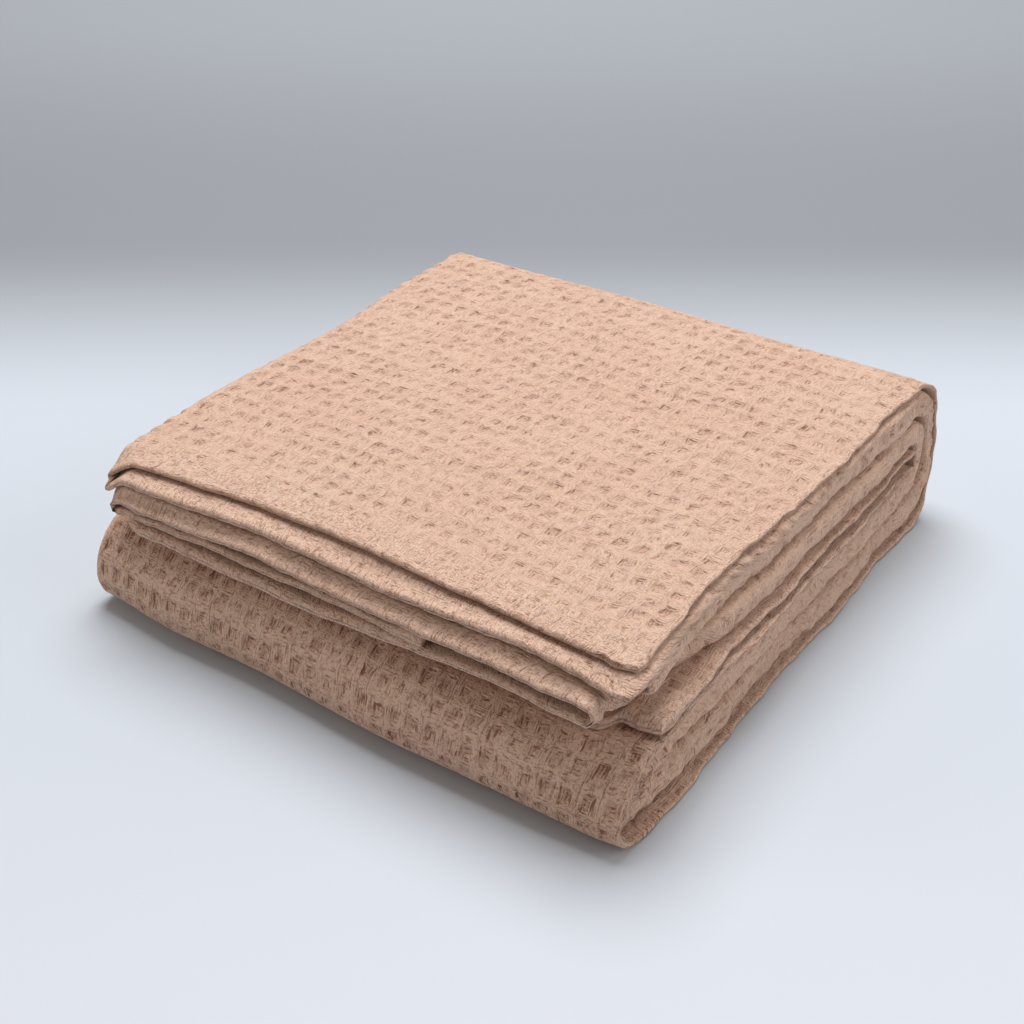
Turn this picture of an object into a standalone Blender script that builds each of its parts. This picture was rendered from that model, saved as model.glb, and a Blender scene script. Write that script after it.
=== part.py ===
"""Folded waffle weave cotton blanket: one cloth panel, folded into a flat stack.

Frame: metres, +Z up, origin at the bottom centre. -Y is the front, where the
two hemmed ends lie above the rounded main fold; +X is the side that shows the
edges of the layers; +Y is the back fold.

The panel is first folded lengthwise into a strip of four layers, and the strip
then lies in four runs, one over another:

    height   run     layers, top to bottom
    top      TOP     1 2 3 4
             UPPER   4 3 2 1
             LOWER   1 2 3 4
    bottom   BASE    4 3 2 1

TOP and BASE join in the outer back fold, LOWER and UPPER in the inner back
fold, and BASE and LOWER in the front fold. Layer 1 ends in a free edge on the
right, layers 2 and 4 join in a fold on the right, and layer 3 is a short flap
between them.
"""
import math

import bpy

# Cloth
THICK = 0.0034             # between the hems
HEM_EXTRA = 0.0010         # added thickness of a hemmed end
HEM_WIDTH = 0.018
COLOUR = (0.60, 0.39, 0.28, 1.0)

# Stack
HEIGHT = 0.0950            # before the warp
LOWER_PITCH = (0.0069, 0.0059)    # layers 0 to 7 from the bottom, front and back
UPPER_PITCH = (0.0056, 0.0057)    # layers 8 to 15, front and back
Y_FRONT = -0.156           # centre of the front fold
Y_BACK = 0.157             # centre of both back folds
FRONT_REACH = 1.02         # the front fold's depth over half its height
BACK_REACH = 0.78          # the same for the back folds

# Sides, x in metres: left fold of layers 1 and 2, left fold of layers 4 and 3,
# free edge of layer 1, right fold of layers 2 and 4, free edge of layer 3
#   run      at      left12   left43   edge1    right24  edge3
SIDES = (
    ("TOP",   0.0, (-0.1650, -0.1680,  0.1630,  0.1680,  0.0500)),
    ("TOP",   0.5, (-0.1710, -0.1700,  0.1590,  0.1630,  0.0530)),
    ("TOP",   1.0, (-0.1720, -0.1710,  0.1630,  0.1660,  0.0550)),
    ("BASE",  0.0, (-0.1710, -0.1700,  0.1680,  0.1680,  0.0560)),
    ("BASE",  0.5, (-0.1700, -0.1690,  0.1700,  0.1690,  0.0560)),
    ("BASE",  1.0, (-0.1710, -0.1680,  0.1750,  0.1720,  0.0560)),
    ("LOWER", 0.0, (-0.1710, -0.1680,  0.1750,  0.1720,  0.0560)),
    ("LOWER", 0.5, (-0.1700, -0.1690,  0.1710,  0.1700,  0.0560)),
    ("LOWER", 1.0, (-0.1690, -0.1680,  0.1660,  0.1670,  0.0560)),
    ("UPPER", 0.0, (-0.1690, -0.1680,  0.1660,  0.1670,  0.0560)),
    ("UPPER", 0.6, (-0.1680, -0.1680,  0.1690,  0.1670,  0.0550)),
    ("UPPER", 1.0, (-0.1640, -0.1670,  0.1750,  0.1510,  0.0530)),
)

# Hemmed ends at the front, y in metres
#   layer    left     right
TOP_ENDS = (
    (1,    -0.1590, -0.1620),
    (2,    -0.1640, -0.1650),
    (3,    -0.1560, -0.1580),
    (4,    -0.1580, -0.1600),
)
UPPER_ENDS = (
    (1,    -0.1510, -0.1470),
    (2,    -0.1670, -0.1680),
    (3,    -0.1650, -0.1660),
    (4,    -0.1660, -0.1670),
)
ENDS = {"TOP": TOP_ENDS, "UPPER": UPPER_ENDS}
POCKET_SAG = 0.0045        # how far layers 2 to 4 of UPPER sag in front of layer 1

# Runs: the level of layer 1 counted from the bottom, whether the run goes toward
# the back, and where along it the hem is
#        level  to_back  hem_at
RUNS = {
    "TOP":   (15, True,  0.0),
    "BASE":  (0,  False, None),
    "LOWER": (7,  True,  None),
    "UPPER": (8,  False, 1.0),
}

RUN_RINGS = 10             # rings in each run
FOLD_RINGS = {"outer": 9, "front": 9, "inner": 6}
LAYER_POINTS = 7           # points along each layer
ARC_POINTS = 5             # points inside each side fold


def mix(a, b, t):
    return a + (b - a) * t


def smooth(edge_a, edge_b, value):
    t = min(max((value - edge_a) / (edge_b - edge_a), 0.0), 1.0)
    return t * t * (3.0 - 2.0 * t)


def pitches(y):
    """Distance between layers in the lower and upper half at this depth."""
    t = min(max((y - Y_FRONT) / (Y_BACK - Y_FRONT), 0.0), 1.0)
    return mix(*LOWER_PITCH, t), mix(*UPPER_PITCH, t)


def level(index, y):
    """Height of the middle of one of the 16 layers, counted from the bottom."""
    lower, upper = pitches(y)
    if index < 8:
        return THICK / 2 + index * lower
    return HEIGHT - THICK / 2 - (15 - index) * upper


def sides_at(run, t):
    rows = [(at, values) for name, at, values in SIDES if name == run]
    for (at_a, a), (at_b, b) in zip(rows, rows[1:]):
        if t <= at_b:
            s = smooth(at_a, at_b, t)
            return [mix(p, q, s) for p, q in zip(a, b)]
    return list(rows[-1][1])


def end_y(table, layer, x):
    """Where a layer's hemmed end lies; layer is 1 to 4 and may be a fraction."""
    t = min(max((x + 0.165) / 0.33, 0.0), 1.0)
    index = min(max(int(layer) - 1, 0), 2)
    near, far = table[index], table[index + 1]
    share = min(max(layer - near[0], 0.0), 1.0)
    return mix(mix(near[1], near[2], t), mix(far[1], far[2], t), share)


def centre_line(pitch, sides):
    """The strip's section: x, depth below layer 1, and the direction across the cloth."""
    left12, left43, edge1, right24, edge3 = sides
    half = THICK / 2
    points = []

    def straight(x_a, x_b, depth, across):
        for i in range(LAYER_POINTS):
            points.append((mix(x_a, x_b, i / (LAYER_POINTS - 1)), depth, (0.0, across)))

    def arc(x, depth, radius, side, down, turn):
        for i in range(1, ARC_POINTS + 1):
            angle = math.pi * i / (ARC_POINTS + 1)
            out, along = math.sin(angle) * side, -math.cos(angle) * down
            points.append((x + radius * out, depth + radius * along,
                           (out * turn, along * turn)))

    r_small, r_large = pitch / 2, pitch
    # layer 1 runs left from its free edge; "across" points to the panel's outer face
    straight(edge1, left12 + r_small + half, 0.0, -1.0)
    arc(left12 + r_small + half, r_small, r_small, -1.0, 1.0, 1.0)
    straight(left12 + r_small + half, right24 - r_large - half, pitch, 1.0)
    arc(right24 - r_large - half, pitch + r_large, r_large, 1.0, 1.0, -1.0)
    straight(right24 - r_large - half, left43 + r_small + half, 3.0 * pitch, -1.0)
    arc(left43 + r_small + half, 3.0 * pitch - r_small, r_small, -1.0, -1.0, -1.0)
    straight(left43 + r_small + half, edge3, 2.0 * pitch, 1.0)
    return points


def section(pitch, sides, extra):
    """Closed outline of the strip's section: x, depth, and the layer it belongs to."""
    line = centre_line(pitch, sides)
    half = (THICK + extra) / 2
    one = [(x + ax * half, d + ad * half, 1.0 + d / pitch) for x, d, (ax, ad) in line]
    other = [(x - ax * half, d - ad * half, 1.0 + d / pitch) for x, d, (ax, ad) in line]
    cap = half * 0.75
    (x_first, d_first, _), (x_last, d_last, _) = line[0], line[-1]
    start = (x_first + cap, d_first, 1.0 + d_first / pitch)
    end = (x_last + cap, d_last, 1.0 + d_last / pitch)
    return [start] + one + [end] + other[::-1]


def rings():
    """Every ring of the panel, from the hemmed end of TOP to that of UPPER.

    Each ring is (name, t, sides, extra): the run or fold it belongs to, how far
    along it lies, its side positions and its added thickness.
    """
    made = []

    def run(name):
        for i in range(RUN_RINGS):
            t = i / (RUN_RINGS - 1)
            _, _, hem_at = RUNS[name]
            at_hem = hem_at is not None and abs(t - hem_at) * (RUN_RINGS - 1) < 1.5
            made.append((name, t, sides_at(name, t), HEM_EXTRA if at_hem else 0.0))

    def fold(name, run_a, run_b):
        ends = list(zip(sides_at(run_a, 1.0), sides_at(run_b, 0.0)))
        for i in range(1, FOLD_RINGS[name] + 1):
            t = i / (FOLD_RINGS[name] + 1)
            made.append((name, t, [mix(a, b, t) for a, b in ends], 0.0))

    run("TOP")
    fold("outer", "TOP", "BASE")
    run("BASE")
    fold("front", "BASE", "LOWER")
    run("LOWER")
    fold("inner", "LOWER", "UPPER")
    run("UPPER")
    return made


def ring_pitch(name, t):
    """Distance between layers in a ring's section."""
    if name in RUNS:
        index, toward_back, _ = RUNS[name]
        lower, upper = pitches(mix(Y_FRONT, Y_BACK, t if toward_back else 1.0 - t))
        return lower if index < 8 else upper
    if name == "front":
        return LOWER_PITCH[0]
    return mix(UPPER_PITCH[1], LOWER_PITCH[1], t if name == "outer" else 1.0 - t)


def front_lean(x, y, z):
    """The front fold leans out low over the floor, and its two ends draw back."""
    low = 1.0 - smooth(0.0, 0.055, z)
    ends = 0.0060 * smooth(-0.105, -0.180, x) + 0.0090 * smooth(0.120, 0.180, x) * (1.0 - low)
    return 0.0065 * smooth(-0.13, -0.18, y) * low - ends * smooth(-0.135, -0.175, y)


def place_in_run(name, t, x, depth, layer, pitch):
    """Space point of a section point in one of the four runs, before the warp."""
    index, toward_back, hem_at = RUNS[name]
    share = t if toward_back else 1.0 - t              # 0 at the front, 1 at the back
    y_front = Y_FRONT
    if hem_at is not None:
        y_front = end_y(ENDS[name], layer, x)
        if share > 0.0:                                # the second ring bounds the hem
            first = HEM_WIDTH / (Y_BACK - Y_FRONT)
            share = mix(first, 1.0, (share * (RUN_RINGS - 1) - 1) / (RUN_RINGS - 2))
    y = mix(y_front, Y_BACK, share)
    lower, upper = pitches(y)
    local = lower if index < 8 else upper
    inward = 1.0 if name in ("BASE", "UPPER") else -1.0
    z = level(index, y) + inward * depth * local / pitch
    if name == "UPPER":
        sag = POCKET_SAG * (x + 0.175) / 0.33 * smooth(-0.150, -0.166, y)
        z -= sag * smooth(1.0, 2.0, layer)
    if index < 8:
        y -= front_lean(x, y, z)
    return x, y, z


def place_in_fold(name, t, x, depth):
    """Space point of a section point in one of the three folds, before the warp."""
    if name == "front":
        low, high = level(0, Y_FRONT), level(7, Y_FRONT)
        angle, radius = -math.pi * (0.5 + t), (high - low) / 2 - depth
        y = Y_FRONT + FRONT_REACH * radius * math.cos(angle)
        z = (low + high) / 2 + radius * math.sin(angle)
        return x, y - front_lean(x, y, z), z
    low, high = level(0, Y_BACK), level(15, Y_BACK)
    if name == "outer":
        angle, radius = math.pi * (0.5 - t), (high - low) / 2 - depth
    else:
        angle, radius = math.pi * (t - 0.5), (level(8, Y_BACK) - level(7, Y_BACK)) / 2 + depth
    return (x, Y_BACK + BACK_REACH * radius * math.cos(angle),
            (low + high) / 2 + radius * math.sin(angle))


def warp(x, y, z):
    """The stack's unevenness: one smooth displacement shared by every layer."""
    front = smooth(-0.05, -0.19, y)
    # the top sinks toward its front corners and along the right, and swells at the back
    sink = 0.045 * front * smooth(0.02, -0.17, x) + 0.022 * front * smooth(0.06, 0.17, x)
    sink += 0.012 * smooth(0.10, 0.17, x) - 0.028 * smooth(0.03, 0.16, y)
    sink += 0.006 * math.sin(31.0 * x + 2.0) * math.sin(23.0 * y)
    sway = 0.0010 * z / HEIGHT * math.sin(26.0 * y + 1.0) + 0.0008 * math.sin(41.0 * y - 60.0 * z)
    drift = 0.0010 * math.sin(22.0 * x + 30.0 * z)
    return x + sway, y + drift, z * (1.0 - sink)


def panel_points():
    """All ring points in order, and the number of points in a ring."""
    points, count = [], 0
    for name, t, sides, extra in rings():
        pitch = ring_pitch(name, t)
        outline = section(pitch, sides, extra)
        count = len(outline)
        for x, depth, layer in outline:
            if name in RUNS:
                spot = place_in_run(name, t, x, depth, layer, pitch)
            else:
                spot = place_in_fold(name, t, x, depth)
            points.append(warp(*spot))
    return points, count


def centred(points):
    """Shift the points so the origin is the bottom centre of their bounds."""
    lows = [min(p[i] for p in points) for i in range(3)]
    highs = [max(p[i] for p in points) for i in range(3)]
    middle = ((lows[0] + highs[0]) / 2, (lows[1] + highs[1]) / 2, lows[2])
    return [tuple(p[i] - middle[i] for i in range(3)) for p in points]


def panel_faces(total, count):
    """Quads along the panel, and a strip of quads over each hemmed end."""
    faces = []
    for base in range(0, total - count, count):
        for i in range(count):
            j = (i + 1) % count
            faces.append((base + i, base + count + i, base + count + j, base + j))
    half = (count - 2) // 2
    for base, flip in ((0, True), (total - count, False)):
        one = [base + 1 + i for i in range(half)]
        other = [base + count - 1 - i for i in range(half)]
        caps = [(base, other[0], one[0]), (one[-1], other[-1], base + 1 + half)]
        caps += [(one[i], other[i], other[i + 1], one[i + 1]) for i in range(half - 1)]
        faces += [cap[::-1] if flip else cap for cap in caps]
    return faces


def cloth_material():
    material = bpy.data.materials.new("cotton_waffle")
    material.use_nodes = True
    shader = material.node_tree.nodes["Principled BSDF"]
    shader.inputs["Base Color"].default_value = COLOUR
    shader.inputs["Roughness"].default_value = 0.95
    return material


def main():
    for item in list(bpy.data.objects):
        bpy.data.objects.remove(item, do_unlink=True)
    points, count = panel_points()
    mesh = bpy.data.meshes.new("blanket")
    mesh.from_pydata(centred(points), [], panel_faces(len(points), count))
    mesh.materials.append(cloth_material())
    blanket = bpy.data.objects.new("blanket", mesh)
    bpy.context.scene.collection.objects.link(blanket)


main()
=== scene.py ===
"""A folded waffle weave cotton blanket: one cloth panel, folded into a flat stack.

The panel is drawn flat, as u across it from layer 1's free edge and v along it
from its upper hem, and laid into its folds. A Geometry Nodes tree then presses
the waffle into it, and the material adds the yarns.
"""

import math

import bpy
import numpy as np
from mathutils import Matrix, Vector


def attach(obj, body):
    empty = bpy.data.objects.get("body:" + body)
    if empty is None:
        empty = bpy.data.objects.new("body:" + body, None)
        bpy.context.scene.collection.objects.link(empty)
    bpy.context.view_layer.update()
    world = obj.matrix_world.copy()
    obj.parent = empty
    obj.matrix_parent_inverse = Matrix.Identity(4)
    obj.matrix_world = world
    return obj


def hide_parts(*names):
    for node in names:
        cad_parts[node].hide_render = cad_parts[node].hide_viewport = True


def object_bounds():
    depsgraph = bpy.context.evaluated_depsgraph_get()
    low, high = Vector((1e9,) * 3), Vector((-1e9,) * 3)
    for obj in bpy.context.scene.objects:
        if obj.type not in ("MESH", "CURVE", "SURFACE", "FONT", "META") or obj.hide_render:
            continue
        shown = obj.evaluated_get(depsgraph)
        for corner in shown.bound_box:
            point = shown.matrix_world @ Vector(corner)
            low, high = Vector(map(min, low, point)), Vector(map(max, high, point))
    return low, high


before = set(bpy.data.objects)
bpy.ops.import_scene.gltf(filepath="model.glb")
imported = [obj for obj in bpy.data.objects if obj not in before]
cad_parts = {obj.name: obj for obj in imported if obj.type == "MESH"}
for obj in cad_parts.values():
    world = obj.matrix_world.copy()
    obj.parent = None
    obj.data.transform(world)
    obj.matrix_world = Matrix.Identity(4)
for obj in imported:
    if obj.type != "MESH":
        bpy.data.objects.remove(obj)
CAD_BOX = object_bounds()
BOX_SIZE = CAD_BOX[1] - CAD_BOX[0]

bl_info = {
    "name": "Folded waffle weave blanket",
    "version": (1, 0, 0),
    "blender": (4, 5, 0),
    "location": "3D View > Sidebar > Blanket",
    "description": "Lays one cotton panel into its folds and presses the waffle weave into it",
    "category": "Add Mesh",
}

BODY = "root"
NODE = "blanket"
SLOT = "cotton_waffle"

# ---------------------------------------------------------------- fold of the panel

THICK = 0.0034                     # of the cloth, as the layers are spaced for it
HEM_WIDTH = 0.018
HEIGHT = 0.0950                    # from the floor to the top layer, before the stack's unevenness
LOWER_PITCH = (0.0069, 0.0059)     # distance between layers 0 to 7, front and back
UPPER_PITCH = (0.0056, 0.0057)     # layers 8 to 15
Y_FRONT, Y_BACK = -0.156, 0.157    # centres of the front fold and of the back folds
FRONT_REACH, BACK_REACH = 1.02, 0.78
DRAWN_SIZE = (0.3494, 0.3819, 0.0979)      # of the whole stack as these values draw it
DRAWN_CENTRE = (0.00166, 0.00408)

# how far each run's sides reach, at places from its start to its end, as x of:
# left fold of layers 1 and 2, left fold of 4 and 3, free edge of 1, right fold of 2 and 4,
# free edge of 3
SIDES = {
    "top":   ((0.0, (-0.1722, -0.1700, 0.1630, 0.1690, 0.0500)),
              (0.5, (-0.1710, -0.1700, 0.1590, 0.1630, 0.0530)),
              (1.0, (-0.1720, -0.1710, 0.1630, 0.1660, 0.0550))),
    "base":  ((0.0, (-0.1710, -0.1700, 0.1680, 0.1680, 0.0560)),
              (0.5, (-0.1700, -0.1690, 0.1700, 0.1690, 0.0560)),
              (1.0, (-0.1765, -0.1740, 0.1750, 0.1720, 0.0560))),
    "lower": ((0.0, (-0.1765, -0.1740, 0.1750, 0.1720, 0.0560)),
              (0.5, (-0.1700, -0.1690, 0.1710, 0.1700, 0.0560)),
              (1.0, (-0.1690, -0.1680, 0.1660, 0.1670, 0.0560))),
    "upper": ((0.0, (-0.1690, -0.1680, 0.1660, 0.1670, 0.0560)),
              (0.6, (-0.1680, -0.1680, 0.1690, 0.1670, 0.0550)),
              (0.9, (-0.1560, -0.1690, 0.1750, 0.1560, 0.0535)),
              (1.0, (-0.1500, -0.1690, 0.1750, 0.1555, 0.0530))),
}

# where layer 1's upper hem ends, as x and y from left to right; the other hems follow it
HEM_LINE = ((-0.175, -0.156, -0.110, -0.074, -0.027, 0.005, 0.047, 0.084, 0.131, 0.150, 0.180),
            (-0.1545, -0.1524, -0.1500, -0.1490, -0.1496, -0.1508, -0.1536, -0.1560, -0.1577,
             -0.1590, -0.1600))
# layer 2's upper hem from left to right: x, how far it lies beyond layer 1's, and its rise
SECOND_HEM = (
    (-0.175, -0.163, -0.152, -0.134, -0.111, -0.070, -0.021, 0.012, 0.056, 0.093, 0.119, 0.139, 0.155),
    (0.0010, 0.0062, 0.0090, 0.0103, 0.0115, 0.0120, 0.0130, 0.0135, 0.0120, 0.0110, 0.0097, 0.0098,
     0.0108),
    (-0.0012, -0.0012, -0.0012, -0.0009, -0.0013, -0.0007, -0.0017, -0.0036, -0.0021, -0.0004,
     0.0006, -0.0003, -0.0030))
# the pocket of the lower hem from left to right: x, how far it lies beyond that line, and the
# rises of its top (layer 4), of the flap in it (layer 3) and of its lip (layer 2)
POCKET = (
    (-0.175, -0.163, -0.150, -0.132, -0.109, -0.066, -0.017, 0.016, 0.060, 0.098, 0.125, 0.150),
    (0.0010, 0.0070, 0.0125, 0.0140, 0.0155, 0.0180, 0.0196, 0.0196, 0.0185, 0.0180, 0.0182, 0.0176),
    (0.0040, 0.0040, 0.0040, 0.0038, 0.0037, 0.0059, 0.0038, 0.0030, 0.0046, 0.0052, 0.0063, 0.0064),
    (-0.0015, 0.0000, 0.0020, 0.0034, 0.0040, 0.0022, 0.0030, 0.0026, 0.0022, 0.0062, 0.0074, 0.0069),
    (0.0030, 0.0020, 0.0015, 0.0010, 0.0005, -0.0018, -0.0016, 0.0005, 0.0050, 0.0076, 0.0088, 0.0074))

# how deep the slit in each run's large side fold is, as a share of the fold's radius
SLIT = {"top": 0.86, "outer": 0.84, "base": 0.84, "front": 0.88, "lower": 0.88, "upper": 0.20}

# runs and folds in order along the panel
#   name      flat length  level  to_back  hemmed
PATH = (
    ("top",    0.318,      15,    True,    True),
    ("outer",  0.129,      None,  None,    None),
    ("base",   0.313,      0,     False,   False),
    ("front",  0.076,      None,  None,    None),
    ("lower",  0.313,      7,     True,    False),
    ("inner",  0.040,      None,  None,    None),
    ("upper",  0.310,      8,     False,   True),
)
RUNS = {row[0]: row[2:] for row in PATH if row[2] is not None}
FOLDS = {"outer": ("top", "base"), "front": ("base", "lower"), "inner": ("lower", "upper")}
PANEL_LENGTH = sum(row[1] for row in PATH)
PANEL_WIDTH = 1.262
V_OUTER, V_BASE, V_FRONT, V_LOWER, V_INNER, V_UPPER = np.cumsum([row[1] for row in PATH])[:6]
HEM_STEPS = 9                              # a hemmed run's places: one over the hem, eight beyond
HEM_SHARE = HEM_WIDTH / (Y_BACK - Y_FRONT)
CELL_WIDTH, CELL_LENGTH = 0.0112, 0.0122

# small waves along the panel of one place in SIDES: height, pace and start of each
EDGE_WAVES = {
    0: ((0.0005, 52.0, 3.0),),
    2: ((0.0006, 61.0, 0.0), (0.0004, 148.0, 1.0), (0.0003, 317.0, 0.0)),
    3: ((0.0007, 45.0, 2.0), (0.0005, 113.0, 0.0), (0.0003, 251.0, 1.0)),
}
# how far the left ends of the hems droop: the upper hem's four layers, and the pocket's flap,
# the bulge behind its mouth and the mouth itself
HEM_DROOP = (0.0105, 0.0128, 0.0100, 0.0070)
FLAP_DROOP, BULGE_DROOP, MOUTH_DROOP = 0.0070, 0.0062, 0.0098
POCKET_BULGE = 0.0103                      # how far the pocket's top rises behind its mouth
FLOOR_GAP = 0.0004                         # cloth lower than this is pressed flat


def mix(a, b, t):
    return a + (b - a) * t


def smooth(edge_a, edge_b, value):
    """0 up to edge_a and 1 from edge_b on, which may be the lower one, and eased between."""
    t = np.clip((value - edge_a) / (edge_b - edge_a), 0.0, 1.0)
    return t * t * (3.0 - 2.0 * t)


def pitches(y):
    """Distance between layers in the lower and in the upper half of the stack."""
    t = np.clip((y - Y_FRONT) / (Y_BACK - Y_FRONT), 0.0, 1.0)
    return mix(*LOWER_PITCH, t), mix(*UPPER_PITCH, t)


def level(index, y):
    """Height of the middle of one of the 16 layers."""
    lower, upper = pitches(y)
    if index < 8:
        return THICK / 2 + index * lower
    return HEIGHT - THICK / 2 - (15 - index) * upper


def sides_at(run, t):
    """A run's sides at place t, eased between the rows of SIDES."""
    rows = SIDES[run]
    for (at_a, a), (at_b, b) in zip(rows, rows[1:]):
        if t <= at_b:
            s = float(smooth(at_a, at_b, t))
            return [mix(p, q, s) for p, q in zip(a, b)]
    return list(rows[-1][1])


def of_layer(layer, values):
    """A value given for each of the layers 1 to 4, changing smoothly round the folds between."""
    layer = np.clip(layer, 1.0, 4.0)
    low = np.minimum(np.floor(layer), 3.0).astype(int)
    values = [np.broadcast_to(value, layer.shape) for value in values]
    a, b = np.choose(low - 1, values[:3]), np.choose(low - 1, values[1:])
    return mix(a, b, smooth(0.0, 1.0, layer - low))


def along_front(x, table, row=1):
    """A value given at places from left to right, with the corners between them rounded."""
    return sum(np.interp(x + shift, table[0], table[row])
               for shift in (-0.012, -0.004, 0.004, 0.012)) / 4.0


def hem_line(x):
    """Layer 1's upper hem, seen from above: a slow curve with small waves."""
    return along_front(x, HEM_LINE) + 0.0002 * np.sin(83.0 * x + 1.0) + 0.0002 * np.sin(190.0 * x)


def end_y(run, layer, x):
    """Where a layer's hemmed end lies; layer is 1 to 4 and may be a fraction."""
    if run == "top":
        corner = -0.0030 * smooth(0.155, 0.1655, x)
        reach = of_layer(layer, (corner, along_front(x, SECOND_HEM), -0.0085, -0.0085))
    else:
        pocket = along_front(x, POCKET)
        reach = of_layer(layer, (0.0030, pocket, pocket - 0.0012, pocket))
        right = 0.0115 * smooth(0.146, 0.156, x) + 0.0026 * smooth(0.171, 0.1770, x)
        reach = reach - right * (1.0 - smooth(1.0, 1.6, layer))
    wave = 0.0002 * np.sin(120.0 * x + 4.0 * layer) + 0.0002 * np.sin(260.0 * x + 7.0 * layer)
    wave = wave + 0.00025 * np.sin(545.0 * x + 3.0 * layer)
    return hem_line(x) - reach + wave


def section(u, pitch, sides, crease):
    """Across the strip at flat distance u: x, depth below layer 1, and the way across.

    The large side fold is flattened and pressed in along a slit into two ridges, and the fold
    between layers 1 and 2 has a crease, each given as its angle and its share of the radius.
    """
    left12, left43, edge1, right24, edge3 = sides
    half, small, large = THICK / 2, pitch / 2, pitch
    x_left, x_right, x_low = left12 + small + half, right24 - large - half, left43 + small + half
    marks = np.cumsum([edge1 - x_left, math.pi * small, x_right - x_left,
                       math.pi * large, x_right - x_low, math.pi * small])
    x, depth = edge1 - u, np.zeros_like(u)
    across_x, across_d = np.zeros_like(u), np.full_like(u, -1.0)

    def arc(low, high, centre_x, centre_d, radius, side, down, turn):
        part = (u > low) & (u <= high)
        angle = (u[part] - low) / radius
        out, along = np.sin(angle) * side, -np.cos(angle) * down
        if radius == large:
            at, share = crease[0]
            lobe = np.where(angle < at, angle / at, (math.pi - angle) / (math.pi - at))
            ridges = np.abs(np.sin(math.pi * np.clip(lobe, 0.0, 1.0)))
            ridges = ridges ** mix(0.85, 0.32, np.abs(out))
            reach = mix(np.abs(out) ** 0.6, ridges, share) * side
        else:
            at, share = crease[1]
            reach = mix(out, np.abs(out) ** 0.45 * side, share)
            if down > 0.0:
                reach = reach - share * side * np.exp(-((angle - at) / 0.36) ** 2)
        x[part], depth[part] = centre_x + radius * reach, centre_d + radius * along
        across_x[part], across_d[part] = out * turn, along * turn

    def straight(low, high, x_from, way, at_depth, across):
        part = (u > low) & (u <= high)
        x[part], depth[part] = x_from + way * (u[part] - low), at_depth
        across_x[part], across_d[part] = 0.0, across

    arc(marks[0], marks[1], x_left, small, small, -1.0, 1.0, 1.0)
    straight(marks[1], marks[2], x_left, 1.0, pitch, 1.0)
    arc(marks[2], marks[3], x_right, pitch + large, large, 1.0, 1.0, -1.0)
    straight(marks[3], marks[4], x_right, -1.0, 3.0 * pitch, -1.0)
    arc(marks[4], marks[5], x_low, 3.0 * pitch - small, small, -1.0, -1.0, -1.0)
    stretch = (edge3 - x_low) / (PANEL_WIDTH - marks[5])
    straight(marks[5], 9.0, x_low, stretch, 2.0 * pitch, 1.0)
    return x, depth, across_x, across_d


def front_lean(x, y, z):
    """How far the lower half's front stands forward: more near the floor, less at both ends."""
    low = 1.0 - smooth(0.0, 0.055, z)
    ends = 0.0060 * smooth(-0.105, -0.180, x) + 0.0090 * smooth(0.120, 0.180, x) * (1.0 - low)
    ends = ends + 0.0100 * smooth(0.055, -0.075, x)         # the front falls back to the left
    return 0.0065 * smooth(-0.13, -0.18, y) * low - ends * smooth(-0.135, -0.175, y)


def warp(x, y, z):
    """The stack's unevenness: one smooth displacement shared by every layer."""
    front = smooth(-0.05, -0.19, y)
    sink = 0.045 * front * smooth(0.02, -0.17, x) + 0.022 * front * smooth(0.06, 0.17, x)
    sink += 0.012 * smooth(0.10, 0.17, x) - 0.028 * smooth(0.03, 0.16, y)
    sink += 0.006 * np.sin(31.0 * x + 2.0) * np.sin(23.0 * y)
    sway = 0.0010 * z / HEIGHT * np.sin(26.0 * y + 1.0) + 0.0008 * np.sin(41.0 * y - 60.0 * z)
    drift = 0.0010 * np.sin(22.0 * x + 30.0 * z)
    return x + sway, y + drift, z * (1.0 - sink)


def left_droop(x, y):
    """1 where the hems' left ends droop like a shoulder, fading to 0 along and behind them."""
    line = hem_line(x)
    return smooth(-0.150, -0.178, x) * smooth(line + 0.016, line - 0.0020, y)


def upper_rise(x, y, layer):
    """How far the upper hem's layers rise or sink from their levels near its end."""
    line, left = hem_line(x), left_droop(x, y)
    second = along_front(x, SECOND_HEM, 2) * smooth(line - 0.0010, line - 0.0090, y)
    shoulder = 0.0022 * smooth(-0.152, -0.176, x)
    rises = [-droop * left for droop in HEM_DROOP]
    rises[1] = second - HEM_DROOP[1] * left
    return of_layer(layer, rises) - shoulder


def pocket_rise(x, y, layer):
    """The same for the lower hem, which stands open: its top bulges up to meet layer 2's."""
    line, left = hem_line(x), left_droop(x, y)
    near = smooth(line + 0.016, line - 0.0060, y)
    second, reach = along_front(x, SECOND_HEM), along_front(x, POCKET)
    end = smooth(-0.150, -0.178, x)
    bulge = POCKET_BULGE + along_front(x, SECOND_HEM, 2) - BULGE_DROOP * end
    front = along_front(x, POCKET, 2) - MOUTH_DROOP * end
    meets = smooth(line + 0.0060, line - 0.0050, y)
    top = bulge * meets + 0.0010 * left * (1.0 - meets)
    top = top + (front - bulge) * smooth(line - second + 0.0010 + 0.0060 * end,
                                         line - reach - 0.0010 * end, y)
    flap = along_front(x, POCKET, 3) * near - FLAP_DROOP * left
    lip = along_front(x, POCKET, 4) * near
    wave = 0.0003 * np.sin(88.0 * x + 3.0 * layer) * near
    return of_layer(layer, (0.0, lip, flap, top)) + wave


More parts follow.
